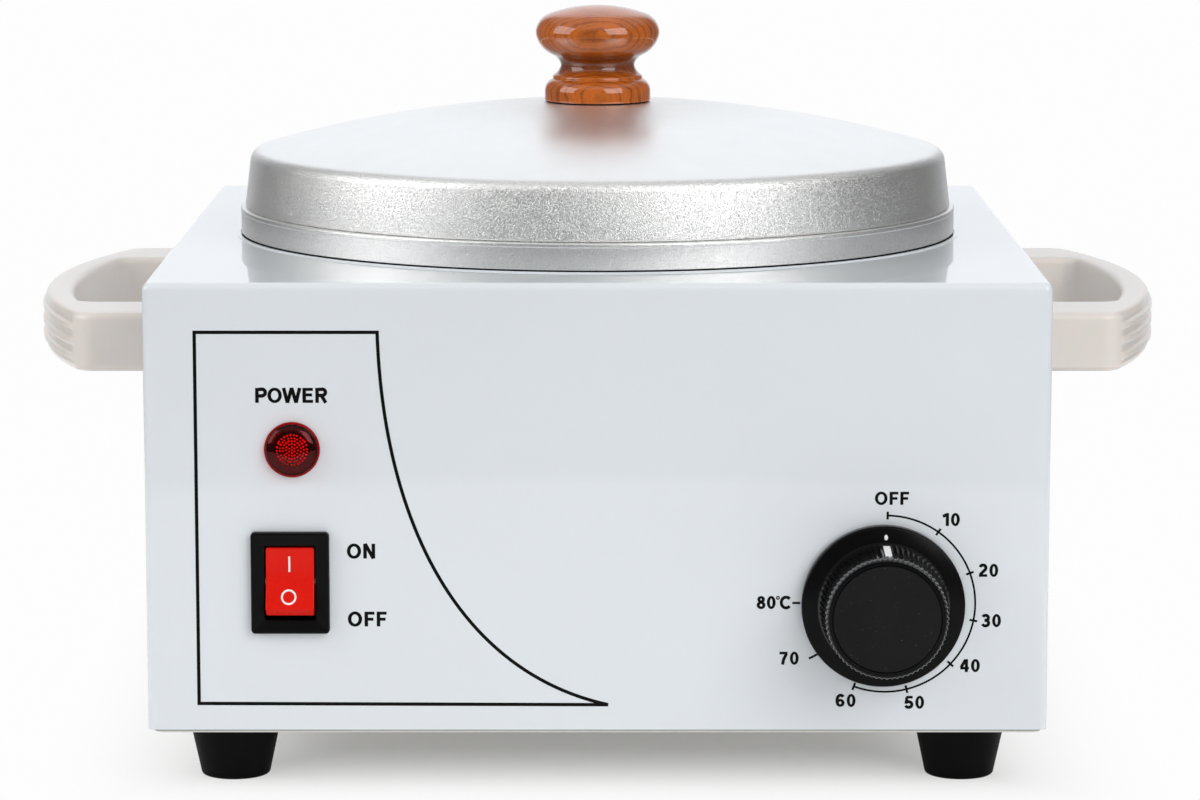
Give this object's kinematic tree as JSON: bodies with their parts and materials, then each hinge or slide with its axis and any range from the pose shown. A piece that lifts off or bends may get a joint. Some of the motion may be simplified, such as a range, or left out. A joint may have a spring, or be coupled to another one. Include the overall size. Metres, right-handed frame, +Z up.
{
  "type": "wax warmer",
  "caption": "Bench-top wax warmer: square sheet-metal case holding a lidded pot, with side handles, thermostat knob, rocker switch, pilot lamp and rubber feet.",
  "frame": {"origin": "on the surface that the feet stand on, under the middle of the whole object's box", "axes": "+X to the user's right, from handle to handle; +Y from the front panel to the back; +Z up"},
  "size_m": [0.3188, 0.2876, 0.2018],
  "materials": {
    "case_paint": "gloss, pale blue-white",
    "zinc_steel": "zinc plated",
    "foot_rubber": "semi-matte black",
    "handle_plastic": "semi-gloss, warm off-white",
    "well_steel": "drawn sheet",
    "pot_aluminium": "satin, fine hammered rim",
    "lid_aluminium": "satin, fine hammered skirt",
    "knob_wood": "varnished, ring figure",
    "heater_sheath": "rolled sheath",
    "insulation_wool": "glass wool",
    "pilot_red": "clear red lens",
    "black_plastic": "semi-gloss black",
    "neon_glass": "clear",
    "rocker_red": "gloss",
    "white_mark": "matte white",
    "cream_plastic": "moulded",
    "brass_tab": "tinned brass",
    "copper": "drawn copper",
    "brown_insulation": "lead insulation",
    "blue_insulation": "lead insulation",
    "green_insulation": "lead insulation"
  },
  "bodies": {
    "base": {"base_plate": "zinc_steel", "base_plate_screws": "zinc_steel", "blanket_straps": "zinc_steel", "capillary_tube": "copper", "cutout_bracket": "zinc_steel", "earth_lead": "green_insulation", "earth_stud": "zinc_steel", "earth_tag": "zinc_steel", "foot_front_left": "foot_rubber", "foot_front_right": "foot_rubber", "foot_rear_left": "foot_rubber", "foot_rear_right": "foot_rubber", "foot_screws": "zinc_steel", "gland_body": "black_plastic", "gland_cap": "black_plastic", "gland_locknut": "black_plastic", "gland_seal": "foot_rubber", "handle_left": "handle_plastic", "handle_right": "handle_plastic", "handle_screws": "zinc_steel", "heater_band": "heater_sheath", "heater_clamp_bolt": "zinc_steel", "heater_lead": "brown_insulation", "heater_well": "well_steel", "insulation_blanket": "insulation_wool", "live_lead": "brown_insulation", "m4_nuts": "zinc_steel", "m4_washers": "zinc_steel", "neutral_lead": "blue_insulation", "outer_case": "case_paint", "pilot_lamp_body": "black_plastic", "pilot_lamp_lens": "pilot_red", "pilot_lamp_neon": "neon_glass", "pilot_lamp_nut": "zinc_steel", "pilot_leads": "blue_insulation", "sensor_bulb": "copper", "sensor_clip": "zinc_steel", "switch_housing": "black_plastic", "switch_pivot_pin": "zinc_steel", "switched_lead": "brown_insulation", "terminal_block": "cream_plastic", "terminal_screws": "zinc_steel", "terminal_tabs": "brass_tab", "thermal_cutout": "black_plastic", "thermostat_body": "cream_plastic", "thermostat_screws": "zinc_steel", "well_nut": "zinc_steel", "well_spacer": "zinc_steel", "well_stud": "zinc_steel"},
    "pot": {"wax_pot": "pot_aluminium"},
    "lid": {"lid": "lid_aluminium", "lid_knob_gasket": "foot_rubber", "lid_knob": "knob_wood", "lid_knob_washer": "zinc_steel", "lid_knob_screw": "zinc_steel"},
    "knob": {"control_knob": "black_plastic", "control_knob_cap": "black_plastic", "control_knob_pointer": "white_mark", "thermostat_shaft": "zinc_steel"},
    "rocker": {"switch_rocker": "rocker_red"}
  },
  "joints": [
    {"name": "pot_lift", "type": "slide", "parent": "base", "child": "pot", "axis": [0, 0, 1], "range_m": [0, 0.1]},
    {"name": "lid_lift", "type": "slide", "parent": "pot", "child": "lid", "axis": [0, 0, 1], "range_m": [0, 0.12]},
    {"name": "knob_turn", "type": "hinge", "parent": "base", "child": "knob", "pos_m": [0.0758, -0.1228, 0.0512], "axis": [0, 1, 0], "range_deg": [0, 270]},
    {"name": "rocker_tilt", "type": "hinge", "parent": "base", "child": "rocker", "pos_m": [-0.0815, -0.12105, 0.0571], "axis": [1, 0, 0], "range_deg": [0, 20]}
  ]
}
